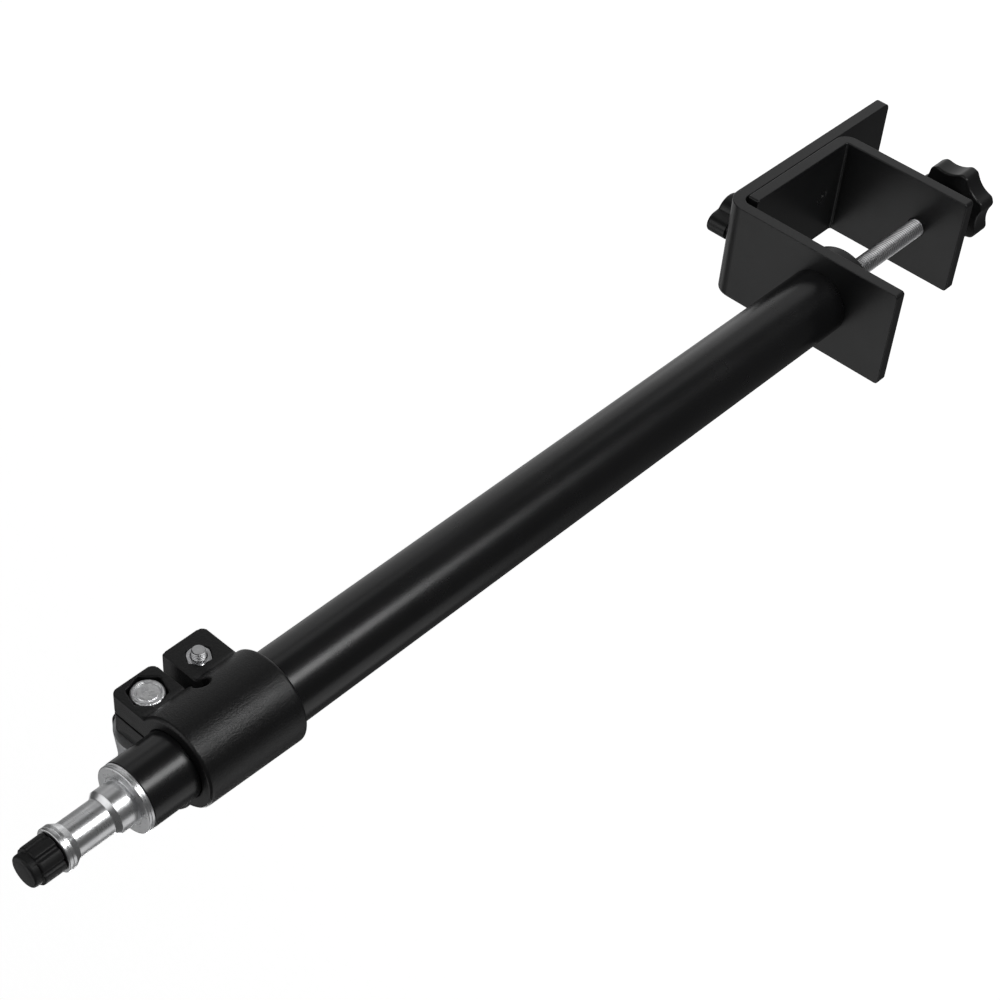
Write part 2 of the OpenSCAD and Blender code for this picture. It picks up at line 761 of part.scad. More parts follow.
module thread_stud() {
    shank_l = stud_in_l + stud_out_l - stud_chamfer;
    color("#b4b6b9")
        translate([0, 0, spigot_top_z - stud_in_l]) {
            cylinder(r = stud_r, h = shank_l);
            translate([0, 0, shank_l]) cylinder(r1 = stud_r, r2 = stud_r - stud_chamfer, h = stud_chamfer);
        }
}

module thread_cap() {
    color("#1a1b1d")
        difference() {
            translate([0, 0, cap_z]) {
                linear_extrude(cap_skirt_l) {
                    circle(r = cap_groove_r);
                    intersection() {
                        circle(r = cap_r);
                        for (turn = [0:360 / cap_ribs:179])
                            rotate(turn - cap_turn) square([3 * cap_r, cap_rib_w], center = true);
                    }
                }
                cylinder(r = cap_core_r, h = cap_skirt_l + cap_crown_l / 2);
                translate([0, 0, cap_skirt_l + cap_crown_l / 2])
                    cylinder(r1 = cap_core_r, r2 = cap_end_r, h = cap_crown_l / 2);
            }
            translate([0, 0, cap_z - cut]) cylinder(r = stud_r + cap_fit, h = stud_top_z - cap_z + cap_fit + cut);
        }
}

upper_bracket();
lower_bracket();
guide_pin();
outer_tube();
tube_plug();
base_screw();
clamp_screw();
clamp_knob();
pressure_pad();
pad_facing();
back_knob();
back_screw();
back_washer();
lock_collar();
collar_bolt();
collar_nut();
lock_bolt();
lock_spacer();
lock_knob();
lock_nut();
inner_tube();
guide_bush();
spigot();
thread_stud();
thread_cap();
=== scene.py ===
import json
import math

import bmesh
import bpy
from mathutils import Matrix, Vector

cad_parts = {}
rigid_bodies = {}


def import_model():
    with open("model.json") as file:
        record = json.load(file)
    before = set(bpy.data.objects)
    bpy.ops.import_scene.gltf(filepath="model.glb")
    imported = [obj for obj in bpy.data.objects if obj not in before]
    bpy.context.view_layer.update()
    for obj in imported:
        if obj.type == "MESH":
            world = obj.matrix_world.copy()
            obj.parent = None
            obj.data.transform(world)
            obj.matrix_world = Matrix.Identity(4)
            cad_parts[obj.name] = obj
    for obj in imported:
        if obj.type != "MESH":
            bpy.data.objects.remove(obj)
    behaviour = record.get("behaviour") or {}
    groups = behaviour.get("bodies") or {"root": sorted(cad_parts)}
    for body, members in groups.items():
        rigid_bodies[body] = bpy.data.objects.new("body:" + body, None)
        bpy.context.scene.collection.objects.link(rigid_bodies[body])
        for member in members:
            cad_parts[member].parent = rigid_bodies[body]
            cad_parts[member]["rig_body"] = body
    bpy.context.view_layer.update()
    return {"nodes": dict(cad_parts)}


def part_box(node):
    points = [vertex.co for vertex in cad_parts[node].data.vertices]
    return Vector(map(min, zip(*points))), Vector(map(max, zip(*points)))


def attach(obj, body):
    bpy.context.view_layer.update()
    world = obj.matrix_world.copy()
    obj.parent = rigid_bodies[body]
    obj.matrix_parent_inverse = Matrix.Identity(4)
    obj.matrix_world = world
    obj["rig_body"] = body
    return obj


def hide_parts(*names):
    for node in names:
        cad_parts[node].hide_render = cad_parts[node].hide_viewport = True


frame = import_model()
mm = 0.001
print("frame loaded with", len(frame["nodes"]), "solids")


# Camera, worked out from the photo's circles and edges

photoView = {"place": (0.548364, -0.349835, 0.629180), "turn": (-40.43711, 42.41877, -84.92027),
             "lens": 79.206, "film": 36, "farEnd": 60}
lens = bpy.data.cameras.new("photoView")
lens.lens = photoView["lens"]
lens.sensor_width = photoView["film"]
lens.clip_end = photoView["farEnd"]
camera = bpy.data.objects.new("photoView", lens)
camera.location = photoView["place"]
camera.rotation_euler = [math.radians(turn) for turn in photoView["turn"]]
bpy.context.scene.collection.objects.link(camera)
bpy.context.scene.camera = camera
bpy.context.scene.view_settings.view_transform = "Standard"


# Shader maths

class Wire:
    # Wraps a socket, so that sums on it add their Math nodes
    def __init__(self, finish, socket):
        self.finish = finish
        self.socket = socket

    def maths(self, operation, first, second):
        return self.finish.node("ShaderNodeMath", {"operation": operation}, {0: first, 1: second})

    def __add__(self, other):
        return self.maths("ADD", self, other)

    def __sub__(self, other):
        return self.maths("SUBTRACT", self, other)

    def __mul__(self, other):
        return self.maths("MULTIPLY", self, other)

    def __rsub__(self, other):
        return self.maths("SUBTRACT", other, self)

    __radd__ = __add__
    __rmul__ = __mul__


class Finish:
    # A material in the making. Patterns are measured on the piece, in millimetres
    def __init__(self, name):
        self.material = bpy.data.materials.new(name)
        self.material.use_nodes = True
        self.tree = self.material.node_tree
        self.tree.nodes.clear()
        self.place = self.node("ShaderNodeTexCoord", output="Object")

    def node(self, kind, settings=None, sockets=None, output=0):
        made = self.tree.nodes.new(kind)
        for key, value in (settings or {}).items():
            setattr(made, key, value)
        for key, value in (sockets or {}).items():
            if isinstance(value, Wire):
                self.tree.links.new(value.socket, made.inputs[key])
            else:
                made.inputs[key].default_value = value
        return Wire(self, made.outputs[output]) if made.outputs else None

    def vectors(self, operation, first, second=None, output=0):
        sockets = {0: first} if second is None else {0: first, 1: second}
        return self.node("ShaderNodeVectorMath", {"operation": operation}, sockets, output)

    # Cloudy pattern with spots of a given size
    def cloud(self, size, detail=2.0, stretch=None):
        place = self.vectors("MULTIPLY", self.place, stretch) if stretch else self.place
        return self.node("ShaderNodeTexNoise", None, {
            "Vector": place, "Scale": 1 / (size * mm), "Detail": detail, "Roughness": 0.6})

    # Soft step of a pattern: 0 below low, 1 above high
    def step(self, value, low, high):
        return self.node("ShaderNodeMapRange", {"interpolation_type": "SMOOTHSTEP"},
                         {"Value": value, "From Min": low, "From Max": high})

    def blend(self, factor, first, second):
        first, second = ((*colour, 1) if isinstance(colour, tuple) else colour
                         for colour in (first, second))
        return self.node("ShaderNodeMix", {"data_type": "RGBA"}, {0: factor, 6: first, 7: second},
                         output=2)

    # How much an edge stands out: 0 on flat faces, near 1 on edges sharper than the given radius
    def edges(self, radius):
        soft = self.node("ShaderNodeBevel", {"samples": 4}, {"Radius": radius * mm})
        normal = self.node("ShaderNodeNewGeometry", output="Normal")
        match = self.vectors("DOT_PRODUCT", soft, normal, output="Value")
        return self.step(1 - match, 0.02, 0.16)

    # 1 in the grooves of a thread, 0 on its crests and its flat end, from the middle of its node:
    # the mask for painted shade in the grooves
    def grooves(self, thread):
        corner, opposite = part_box(thread["node"])
        along = Vector((1, 1, 1)) - Vector(thread["across"])
        away = self.vectors("SUBTRACT", self.place, (corner + opposite) / 2)
        height = self.vectors("DOT_PRODUCT", away, along, output="Value")
        away = self.vectors("MULTIPLY", away, thread["across"])
        reach = self.vectors("LENGTH", away, output="Value")
        end = (opposite - corner).dot(along) / 2
        depth = 1 - self.step(reach, thread["root"] * mm, thread["crest"] * mm)
        endFrom, endTo = (end - inset * mm for inset in (0.3, 0.1))
        return depth * (1 - self.step(height, endFrom, endTo))

    def relief(self, height, depth, under=None):
        sockets = {"Height": height, "Distance": depth * mm, "Strength": 1.0}
        if under:
            sockets["Normal"] = under
        return self.node("ShaderNodeBump", None, sockets)

    def close(self, sockets):
        shader = self.node("ShaderNodeBsdfPrincipled", None, sockets)
        self.node("ShaderNodeOutputMaterial", None, {"Surface": shader})
        return self.material


# Powder coat on steel: fine orange peel, edges a little paler, partly edge wear and partly a
# painted highlight along them
def powderCoat(name, look):
    finish = Finish(name)
    # Paler edges: partly edge wear, partly a painted highlight standing in for light caught on the
    # edges
    edgeWearAndHighlight = finish.edges(look["edge"]) * finish.step(finish.cloud(3.0, 4), 0.42, 0.62)
    dust = finish.step(finish.cloud(26.0, 3), 0.3, 0.8)
    colour = finish.blend(dust, look["colour"], look["dusty"])
    colour = finish.blend(edgeWearAndHighlight * 0.6, colour, look["paleEdge"])
    peel = finish.relief(finish.cloud(look["peel"], 1), look["peelDepth"])
    grain = finish.relief(finish.cloud(look["grain"], 2), look["grainDepth"], peel)
    rough = finish.cloud(14.0, 4) * 0.1 + (look["rough"] - 0.05) - edgeWearAndHighlight * 0.08
    return finish.close({"Base Color": colour, "Roughness": rough, "Normal": grain,
                         "Specular IOR Level": look["shine"]})


# Moulded plastic or rubber: fine texture, faint flow marks
def moulded(name, look):
    finish = Finish(name)
    flow = finish.cloud(18.0, 3, (1, 1, 0.35))
    colour = finish.blend(finish.step(flow, 0.3, 0.75), look["colour"], look["flow"])
    edge = finish.edges(look["edge"]) * finish.step(finish.cloud(2.2, 3), 0.4, 0.6)
    colour = finish.blend(edge * 0.5, colour, look["paleEdge"])
    grain = finish.relief(finish.cloud(look["grain"], 3), look["grainDepth"])
    rough = finish.cloud(9.0, 3) * 0.12 + (look["rough"] - 0.06)
    return finish.close({"Base Color": colour, "Roughness": rough, "Normal": grain,
                         "Specular IOR Level": look["shine"]})


# Plated steel: cloudy tarnish, fine rubbing marks, painted shade in the grooves of threads
def plated(name, look):
    finish = Finish(name)
    tarnish = finish.step(finish.cloud(look["cloud"], 5), 0.35, 0.7)
    colour = finish.blend(tarnish, look["colour"], look["tarnish"])
    if "thread" in look:
        # Painted shade: the thread's grooves take the darker groove colour
        colour = finish.blend(finish.grooves(look["thread"]), colour, look["groove"])
    marks = finish.cloud(0.35, 3, look["marks"])
    rough = marks * look["roughSpread"] + tarnish * 0.05 + look["rough"]
    dents = finish.relief(finish.cloud(look["dentSize"], 2), look["dents"])
    fine = finish.relief(marks, look["markDepth"], dents)
    return finish.close({"Base Color": colour, "Metallic": 1.0, "Roughness": rough,
                         "Normal": fine})


# Turned aluminium: tool rings across the axis, and slight handling marks
def turned(name, look):
    finish = Finish(name)
    rings = finish.cloud(1.0, 2, (0.5, 0.5, 5.5))
    fineRings = finish.cloud(1.0, 1, (0.8, 0.8, 16.0))
    stain = finish.step(finish.cloud(5.0, 4), 0.4, 0.75)
    colour = finish.blend(stain, look["colour"], look["stain"])
    rough = rings * look["roughSpread"] + fineRings * 0.05 + stain * 0.04 + look["rough"]
    lay = finish.relief(rings, look["ringDepth"])
    lay = finish.relief(fineRings, look["fineDepth"], lay)
    lay = finish.relief(finish.cloud(0.5, 2), look["pitDepth"], lay)
    return finish.close({"Base Color": colour, "Metallic": 1.0, "Roughness": rough,
                         "Normal": lay})


# Lengths in the finishes' settings are millimetres
# The pale edge colours of the two powder coats are partly edge wear and partly a painted highlight
coatedSteel = powderCoat("coatedSteel", {
    "colour": (0.0095, 0.0096, 0.0102), "dusty": (0.0125, 0.0127, 0.0132),
    "paleEdge": (0.075, 0.075, 0.077), "edge": 0.7, "peel": 1.3, "peelDepth": 0.006,
    "grain": 0.32, "grainDepth": 0.009, "rough": 0.31, "shine": 0.5})
coatedTube = powderCoat("coatedTube", {
    "colour": (0.0075, 0.0076, 0.008), "dusty": (0.0095, 0.0096, 0.0102),
    "paleEdge": (0.03, 0.03, 0.031), "edge": 0.3, "peel": 0.9, "peelDepth": 0.004,
    "grain": 0.24, "grainDepth": 0.006, "rough": 0.26, "shine": 0.5})
collarPlastic = moulded("collarPlastic", {
    "colour": (0.0052, 0.0053, 0.0056), "flow": (0.0068, 0.0069, 0.0073),
    "paleEdge": (0.026, 0.026, 0.027), "edge": 0.5, "grain": 0.6, "grainDepth": 0.11,
    "rough": 0.37, "shine": 0.42})
knobPlastic = moulded("knobPlastic", {
    "colour": (0.0085, 0.0086, 0.009), "flow": (0.011, 0.0112, 0.0116),
    "paleEdge": (0.028, 0.028, 0.029), "edge": 0.4, "grain": 0.26, "grainDepth": 0.012,
    "rough": 0.36, "shine": 0.5})
capPlastic = moulded("capPlastic", {
    "colour": (0.009, 0.0091, 0.0095), "flow": (0.0125, 0.0126, 0.013),
    "paleEdge": (0.03, 0.03, 0.031), "edge": 0.4, "grain": 0.3, "grainDepth": 0.018,
    "rough": 0.5, "shine": 0.35})
padRubber = moulded("padRubber", {
    "colour": (0.013, 0.013, 0.0128), "flow": (0.018, 0.018, 0.0175),
    "paleEdge": (0.035, 0.035, 0.034), "edge": 0.4, "grain": 0.5, "grainDepth": 0.04,
    "rough": 0.72, "shine": 0.35})
bushPlastic = moulded("bushPlastic", {
    "colour": (0.62, 0.6, 0.54), "flow": (0.68, 0.66, 0.6), "paleEdge": (0.5, 0.48, 0.43),
    "edge": 0.4, "grain": 0.6, "grainDepth": 0.008, "rough": 0.4, "shine": 0.5})
# The groove colours of brightSteel and tipSteel are painted shade in their threads' grooves
brightSteel = plated("brightSteel", {
    "colour": (0.95, 0.955, 0.965), "tarnish": (0.82, 0.82, 0.83), "cloud": 3.2,
    "marks": (1, 1, 0.2), "rough": 0.28, "roughSpread": 0.1, "dentSize": 1.4, "dents": 0.002,
    "markDepth": 0.0006, "groove": (0.4, 0.4, 0.41),
    "thread": {"node": "clamp_screw", "across": (1, 1, 0), "root": 3.3, "crest": 3.95}})
tipSteel = plated("tipSteel", {
    "colour": (0.86, 0.865, 0.88), "tarnish": (0.72, 0.72, 0.73), "cloud": 3.2,
    "marks": (1, 1, 0.2), "rough": 0.4, "roughSpread": 0.1, "dentSize": 1.4, "dents": 0.002,
    "markDepth": 0.0006, "groove": (0.03, 0.03, 0.031),
    "thread": {"node": "collar_bolt", "across": (0, 1, 1), "root": 2.1, "crest": 2.47}})
zincSteel = plated("zincSteel", {
    "colour": (0.64, 0.645, 0.66), "tarnish": (0.45, 0.45, 0.46), "cloud": 4.0,
    "marks": (0.3, 1, 1), "rough": 0.2, "roughSpread": 0.14, "dentSize": 0.9, "dents": 0.004,
    "markDepth": 0.0015})
boltSteel = plated("boltSteel", {
    "colour": (0.92, 0.925, 0.93), "tarnish": (0.78, 0.78, 0.8), "cloud": 2.6,
    "marks": (1, 0.4, 1), "rough": 0.24, "roughSpread": 0.2, "dentSize": 1.1, "dents": 0.32,
    "markDepth": 0.03})
insertBrass = plated("insertBrass", {
    "colour": (0.72, 0.5, 0.2), "tarnish": (0.5, 0.33, 0.13), "cloud": 2.5,
    "marks": (0.4, 1, 1), "rough": 0.28, "roughSpread": 0.15, "dentSize": 0.9, "dents": 0.01,
    "markDepth": 0.004})
spigotAluminium = turned("spigotAluminium", {
    "colour": (0.9, 0.905, 0.915), "stain": (0.8, 0.805, 0.815), "rough": 0.2,
    "roughSpread": 0.12, "ringDepth": 0.003, "fineDepth": 0.0015, "pitDepth": 0.002})
spacerAluminium = turned("spacerAluminium", {
    "colour": (0.62, 0.625, 0.635), "stain": (0.5, 0.505, 0.515), "rough": 0.46,
    "roughSpread": 0.16, "ringDepth": 0.006, "fineDepth": 0.004, "pitDepth": 0.008})
print("finishes made")


# Shapes: every round piece is a skin of rings round +Z, in millimetres, and a ring is
# (height, radius) or (height, list of radii, one for each step round)

turns = {
    "Z": Matrix.Identity(4), "-Z": Matrix.Rotation(math.pi, 4, "X"),
    "X": Matrix.Rotation(math.pi / 2, 4, "Y"), "-X": Matrix.Rotation(-math.pi / 2, 4, "Y"),
    "Y": Matrix.Rotation(-math.pi / 2, 4, "X"),
}


def low(node):
    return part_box(node)[0] / mm


def high(node):
    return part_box(node)[1] / mm


def middle(node):
    return (low(node) + high(node)) / 2


def onCircle(radius, angle):
    return radius * math.cos(angle), radius * math.sin(angle)


def ringSkin(rings, steps, looped=False):
    points, faces, rows = [], [], []
    for height, radius in rings:
        first = len(points)
        if radius == 0:
            points.append((0, 0, height))
            rows.append([first])
            continue
        for step in range(steps):
            reach = radius[step] if isinstance(radius, list) else radius
            points.append((*onCircle(reach, 2 * math.pi * step / steps), height))
        rows.append(list(range(first, first + steps)))
    pairs = list(zip(rows, rows[1:]))
    if looped:
        pairs.append((rows[-1], rows[0]))
    for lower, upper in pairs:
        for step in range(steps):
            after = (step + 1) % steps
            if len(lower) == 1:
                faces.append((lower[0], upper[after], upper[step]))
            elif len(upper) == 1:
                faces.append((lower[step], lower[after], upper[0]))
            else:
                faces.append((lower[step], lower[after], upper[after], upper[step]))
    return points, faces


# Corners are (radius, height, rounding) and run up the outside and down the inside. Here their
# heights are counted from a given one
def fromHeight(start, corners):
    return [(radius, start + height, rounding) for radius, height, rounding in corners]


def roundedRings(corners, bends=5):
    rings = []
    for index, (radius, height, rounding) in enumerate(corners):
        if rounding == 0:
            rings.append((height, radius))
            continue
        here = Vector((radius, height))
        back = (Vector(corners[index - 1][:2]) - here).normalized()
        ahead = (Vector(corners[(index + 1) % len(corners)][:2]) - here).normalized()
        half = back.angle(ahead) / 2
        centre = here + (back + ahead).normalized() * rounding / math.sin(half)
        start = here + back * rounding / math.tan(half) - centre
        end = here + ahead * rounding / math.tan(half) - centre
        sweep = start.angle(end)
        for bend in range(bends + 1):
            share = bend / bends
            arc = start * math.sin((1 - share) * sweep) + end * math.sin(share * sweep)
            spot = centre + arc / math.sin(sweep)
            rings.append((spot.y, spot.x))
    return rings


def outline(steps, rule, smooth=0):
    radii = [rule(2 * math.pi * step / steps) for step in range(steps)]
    for _ in range(smooth):
        radii = [(radii[step - 1] + 2 * radii[step] + radii[(step + 1) % steps]) / 4
                 for step in range(steps)]
    return radii


def hexagon(flats):
    def rule(angle):
        return flats / 2 / math.cos(angle % (math.pi / 3) - math.pi / 6)
    return rule


# Rings that follow an outline: offsets are counted from it, and a negative one lies inside
def offsetRings(radii, rings):
    return [(height, [radius + offset for radius in radii]) for height, offset in rings]


# Share of the pitch, and of the groove's depth, for the rows in one turn of a thread
threadRows = [(0.06, 1.0), (0.14, 0.86), (0.4, 0.05), (0.47, 0.0), (0.53, 0.0), (0.6, 0.05),
              (0.86, 0.86), (0.94, 1.0)]
threadDepth = 0.58  # as a share of the pitch


def coreR(thread):
    return thread["r"] - thread["pitch"] * threadDepth


# Right-hand thread between two heights: its rows climb round the axis, its ends are chamfered
def threadSkin(start, end, thread, steps, startChamfer=True, endChamfer=True):
    radius, pitch, core = thread["r"], thread["pitch"], coreR(thread)
    count = len(threadRows)
    rows = count * (math.ceil((end - start) / pitch) + 2)
    points, faces = [], []
    for row in range(rows):
        share, rise = threadRows[row % count]
        for step in range(steps):
            height = start + (row // count - 1 + share + step / steps) * pitch
            reach = radius - pitch * threadDepth * (1 - rise)
            if startChamfer:
                reach = min(reach, core + max(0, height - start))
            if endChamfer:
                reach = min(reach, core + max(0, end - height))
            if height <= start:
                height, reach = start, core if startChamfer else radius
            if height >= end:
                height, reach = end, core if endChamfer else radius
            points.append((*onCircle(reach, 2 * math.pi * step / steps), height))
    for row in range(rows - 1):
        for step in range(steps):
            right, above = row * steps + step + 1, (row + 1) * steps + step + 1
            if step == steps - 1:
                right = min(row + count, rows - 1) * steps
                above = min(row + 1 + count, rows - 1) * steps
            faces.append((row * steps + step, right, above, (row + 1) * steps + step))
    return points, faces


# Closes the end of a thread: the disc at its start looks down, the one at its end looks up
def startDisc(height, thread, steps):
    return ringSkin([(height, 0), (height, coreR(thread))], steps)


def endDisc(height, thread, steps):
    return ringSkin([(height, coreR(thread)), (height, 0)], steps)


def rodSkins(start, end, thread, steps):
    return [startDisc(start, thread, steps), threadSkin(start, end, thread, steps),
            endDisc(end, thread, steps)]


def settle(piece, body, nodes, finish, sharp=38):
    mesh = piece.data
    mesh.materials.clear()
    mesh.materials.append(finish)
    mesh.shade_smooth()
    mesh.set_sharp_from_angle(angle=math.radians(sharp))
    even = piece.modifiers.new("evenShade", "WEIGHTED_NORMAL")
    even.keep_sharp = True
    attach(piece, body)
    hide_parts(*nodes)
    return piece


# Metres and angles: up to "flat" faces are joined into one, from "edge" on edges are rounded
tolerance = {"weld": 3e-6, "weldSolid": 2e-6, "tiny": 1e-6, "flat": math.radians(0.4),
             "edge": math.radians(32)}


# A piece from one or more skins, stood on an axis
def makePiece(name, skins, node, finish, axis="Z", at=(0, 0, 0), sharp=38):
    points, faces = [], []
    for skinPoints, skinFaces in skins:
        first = len(points)
        points += skinPoints
        faces += [tuple(first + index for index in face) for face in skinFaces]
    move = Matrix.Scale(mm, 4) @ Matrix.Translation(at) @ turns[axis]
    mesh = bpy.data.meshes.new(name)
    mesh.from_pydata([move @ Vector(point) for point in points], [], faces)
    work = bmesh.new()
    work.from_mesh(mesh)
    bmesh.ops.remove_doubles(work, verts=work.verts, dist=tolerance["weld"])
    bmesh.ops.dissolve_degenerate(work, edges=work.edges, dist=tolerance["tiny"])
    work.to_mesh(mesh)
    work.free()
    piece = bpy.data.objects.new(name, mesh)
    bpy.context.scene.collection.objects.link(piece)
    return settle(piece, frame["nodes"][node]["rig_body"], [node], finish, sharp)


# A clean copy of a solid as one mesh, flat faces joined up
def cleanCopy(node):
    work = bmesh.new()
    work.from_mesh(frame["nodes"][node].data)
    bmesh.ops.remove_doubles(work, verts=work.verts, dist=tolerance["weldSolid"])
    bmesh.ops.dissolve_degenerate(work, edges=work.edges, dist=tolerance["tiny"])
    bmesh.ops.dissolve_limit(work, angle_limit=tolerance["flat"], verts=work.verts,
                             edges=work.edges)
    bmesh.ops.recalc_face_normals(work, faces=work.faces)
    points = [vert.co.copy() for vert in work.verts]
    work.verts.index_update()
    faces = [[vert.index for vert in face.verts] for face in work.faces]
    work.free()
    mesh = bpy.data.meshes.new(node)
    mesh.from_pydata(points, [], faces)
    return mesh


# A sawn, pressed or moulded piece: the solid's faces with every edge rounded
def eased(name, node, finish, width, bends=3):
    piece = bpy.data.objects.new(name, cleanCopy(node))
    bpy.context.scene.collection.objects.link(piece)
    ease = piece.modifiers.new("easedEdges", "BEVEL")
    ease.width = width * mm
    ease.segments = bends
    ease.limit_method = "ANGLE"
    ease.angle_limit = tolerance["edge"]
    ease.use_clamp_overlap = True
    return settle(piece, frame["nodes"][node]["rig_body"], [node], finish)


# Bent plates, sheared and tumbled before coating
eased("upperPlate", "upper_bracket", coatedSteel, 0.75, 4)
eased("lowerPlate", "lower_bracket", coatedSteel, 0.75, 4)
print("plates made")


# Tubes
tubes = {"outerTube": {"node": "outer_tube", "r": 14, "boreR": 13},
         "innerTube": {"node": "inner_tube", "r": 12.5, "boreR": 11.3}}
tubeEnds = {"rounding": 0.35, "footRounding": 0.08, "steps": 144}
for name, tube in tubes.items():
    foot, top = low(tube["node"]).z, high(tube["node"]).z
    corners = [(tube["boreR"], foot, tubeEnds["rounding"]),
               (tube["r"], foot, tubeEnds["footRounding"]),
               (tube["r"], top, tubeEnds["rounding"]), (tube["boreR"], top, tubeEnds["rounding"])]
    makePiece(name, [ringSkin(roundedRings(corners), tubeEnds["steps"], looped=True)],
              tube["node"], coatedTube)
print("tubes made")


# Spigot: plug, flange with a turned groove, foot, waist and lip with the thread's bore
spigot = {
    "plugL": 20, "steps": 144,
    # Corners with heights from the plug's foot, from the flange's foot and from the top
    "plug": [(0, 0, 0), (10.78, 0, 0), (11.28, 0.5, 0), (11.28, 19.6, 0), (10.98, 19.65, 0),
             (10.98, 20, 0)],
    "flange": [(12.4, 0, 0.25), (12.4, 1.05, 0.1), (12.18, 1.2, 0.05), (12.18, 1.35, 0.05),
               (12.4, 1.5, 0.1), (12.4, 2.4, 0.45), (8.75, 2.4, 0.2), (8.75, 2.0, 0.1),
               (7.65, 2.0, 0.15), (7.65, 2.9, 0.1), (8, 3.15, 0.12), (8, 9.3, 0.25),
               (6.5, 11.1, 0.5), (6.5, 24.7, 0.5)],
    "lip": [(8, -2.8, 0.25), (8, -1.75, 0.1), (7.84, -1.62, 0.04), (7.84, -1.42, 0.04),
            (8, -1.3, 0.1), (8, 0, 0.45), (3.595, 0, 0), (3.195, -0.4, 0), (3.195, -10, 0),
            (0, -10, 0)],
}
foot, top = low("spigot").z, high("spigot").z
rings = roundedRings(fromHeight(foot, spigot["plug"])
                     + fromHeight(foot + spigot["plugL"], spigot["flange"])
                     + fromHeight(top, spigot["lip"]))
makePiece("spigotPin", [ringSkin(rings, spigot["steps"])], "spigot",
          spigotAluminium, sharp=40)

stud = {"r": 3.175, "pitch": 1.27, "steps": 36}
makePiece("threadStud", rodSkins(low("thread_stud").z, high("thread_stud").z, stud, stud["steps"]),
          "thread_stud", zincSteel)


# Thread cap: smooth core, eight broad ribs that stop short of its end
cap = {
    "ribs": 8, "ribL": 8.3, "ribR": 6.9, "ribWidth": 3.9, "ribFlank": 0.7,
    "turn": math.radians(6), "steps": 192,
    # Rings as (height, radius) or (height, radius between the ribs, radius on them). Heights of
    # the bore and the end are counted from the cap's closed end, of the mouth and the ribs' start
    # from its open end, and of the ribs' end from where the ribs stop
    "bore": [(-2.0, 0), (-2.0, 2.975)],
    "mouth": [(0.5, 3.275), (0, 3.675)],
    "ribStart": [(0, 5.8, 6.55), (0.12, 6.05, 6.8), (0.4, 6.2, 6.9), (4.0, 6.18, 6.88)],
    "ribEnd": [(-0.9, 6.1, 6.84), (-0.35, 6.05, 6.76), (-0.1, 6.0, 6.55), (0, 5.95, 6.3),
               (0.04, 5.9, 6.02), (0.12, 5.88, 5.88)],
    "end": [(-1.1, 5.82), (-0.65, 5.74), (-0.3, 5.52), (-0.1, 5.2), (-0.02, 4.8), (0, 4.3),
            (-0.12, 3.95), (-0.15, 1.2), (-0.15, 0)],
}


# 1 on a rib, 0 between two, with a soft flank
def ribRule(angle):
    half = math.pi / cap["ribs"]
    across = (angle + cap["turn"] + half) % (2 * half) - half
    side = abs(math.sin(across)) * cap["ribR"]
    edge = (side - cap["ribWidth"] / 2 + cap["ribFlank"] / 2) / cap["ribFlank"]
    edge = min(1, max(0, edge))
    return 1 - edge * edge * (3 - 2 * edge)


ribShare = outline(cap["steps"], ribRule, 1)


def capRings(start, rows):
    rings = []
    for height, radius, *ribR in rows:
        if ribR:
            radius = [radius + (ribR[0] - radius) * share for share in ribShare]
        rings.append((start + height, radius))
    return rings


foot, top = low("thread_cap").z, high("thread_cap").z
rings = (capRings(top, cap["bore"]) + capRings(foot, cap["mouth"] + cap["ribStart"])
         + capRings(foot + cap["ribL"], cap["ribEnd"]) + capRings(top, cap["end"]))
makePiece("threadCap", [ringSkin(rings, cap["steps"])], "thread_cap", capPlastic,
          sharp=50)
print("spigot and cap made")


# Clamp screw with its round head inside the pad
screw = {"r": 4, "pitch": 1.25, "neckR": 2.6, "headR": 3.4, "headL": 3.5, "headFoot": 0.3,
         "headTop": 0.8, "underPad": 0.2, "steps": 56, "backSteps": 40}
foot, top = low("clamp_screw").z, high("clamp_screw").z
shoulder = low("pressure_pad").z - screw["underPad"]
screwY = middle("clamp_screw").y
rings = roundedRings([
    (coreR(screw), shoulder, 0), (screw["neckR"], shoulder, 0),
    (screw["neckR"], top - screw["headL"], 0),
    (screw["headR"], top - screw["headL"], screw["headFoot"]),
    (screw["headR"], top, screw["headTop"]), (0, top, 0)])
makePiece("clampScrew", [startDisc(foot, screw, screw["steps"]),
                         threadSkin(foot, shoulder, screw, screw["steps"]),
                         ringSkin(rings, screw["steps"])],
          "clamp_screw", brightSteel, at=(0, screwY, 0), sharp=40)


# Pad: pressed disc with a rolled edge, hub with room for the screw's head, and rubber face
pad = {
    "r": 16.4, "steps": 120,
    # Corners with heights from the hub's foot, from the disc's face and from the hub's foot
    "hub": [(2.8, 0, 0.2), (7, 0, 0.7), (7, 4.5, 0.8), (16.4, 4.5, 1.2)],
    "disc": [(16.4, 0, 0.4), (2.0, 0, 0), (2.0, -2.85, 0), (3.6, -2.85, 0)],
    "room": [(3.6, 3.25, 0), (2.8, 3.25, 0)],
    "grooves": (13.6, 10.6, 7.6, 4.6), "footRounding": 0.2, "rounding": 0.5,
    # A groove's four corners: distance from its middle, height from the face, rounding
    "grooveSide": [(0.45, 0, 0.12), (0.2, -0.45, 0.1), (-0.2, -0.45, 0.1), (-0.45, 0, 0.12)],
}
foot, top = low("pressure_pad").z, high("pressure_pad").z
rings = roundedRings(fromHeight(foot, pad["hub"]) + fromHeight(top, pad["disc"])
                     + fromHeight(foot, pad["room"]))
makePiece("pressurePad", [ringSkin(rings, pad["steps"], looped=True)], "pressure_pad",
          knobPlastic, at=(0, screwY, 0))
foot, top = low("pad_facing").z, high("pad_facing").z
corners = [(0, foot, 0), (pad["r"], foot, pad["footRounding"]), (pad["r"], top, pad["rounding"])]
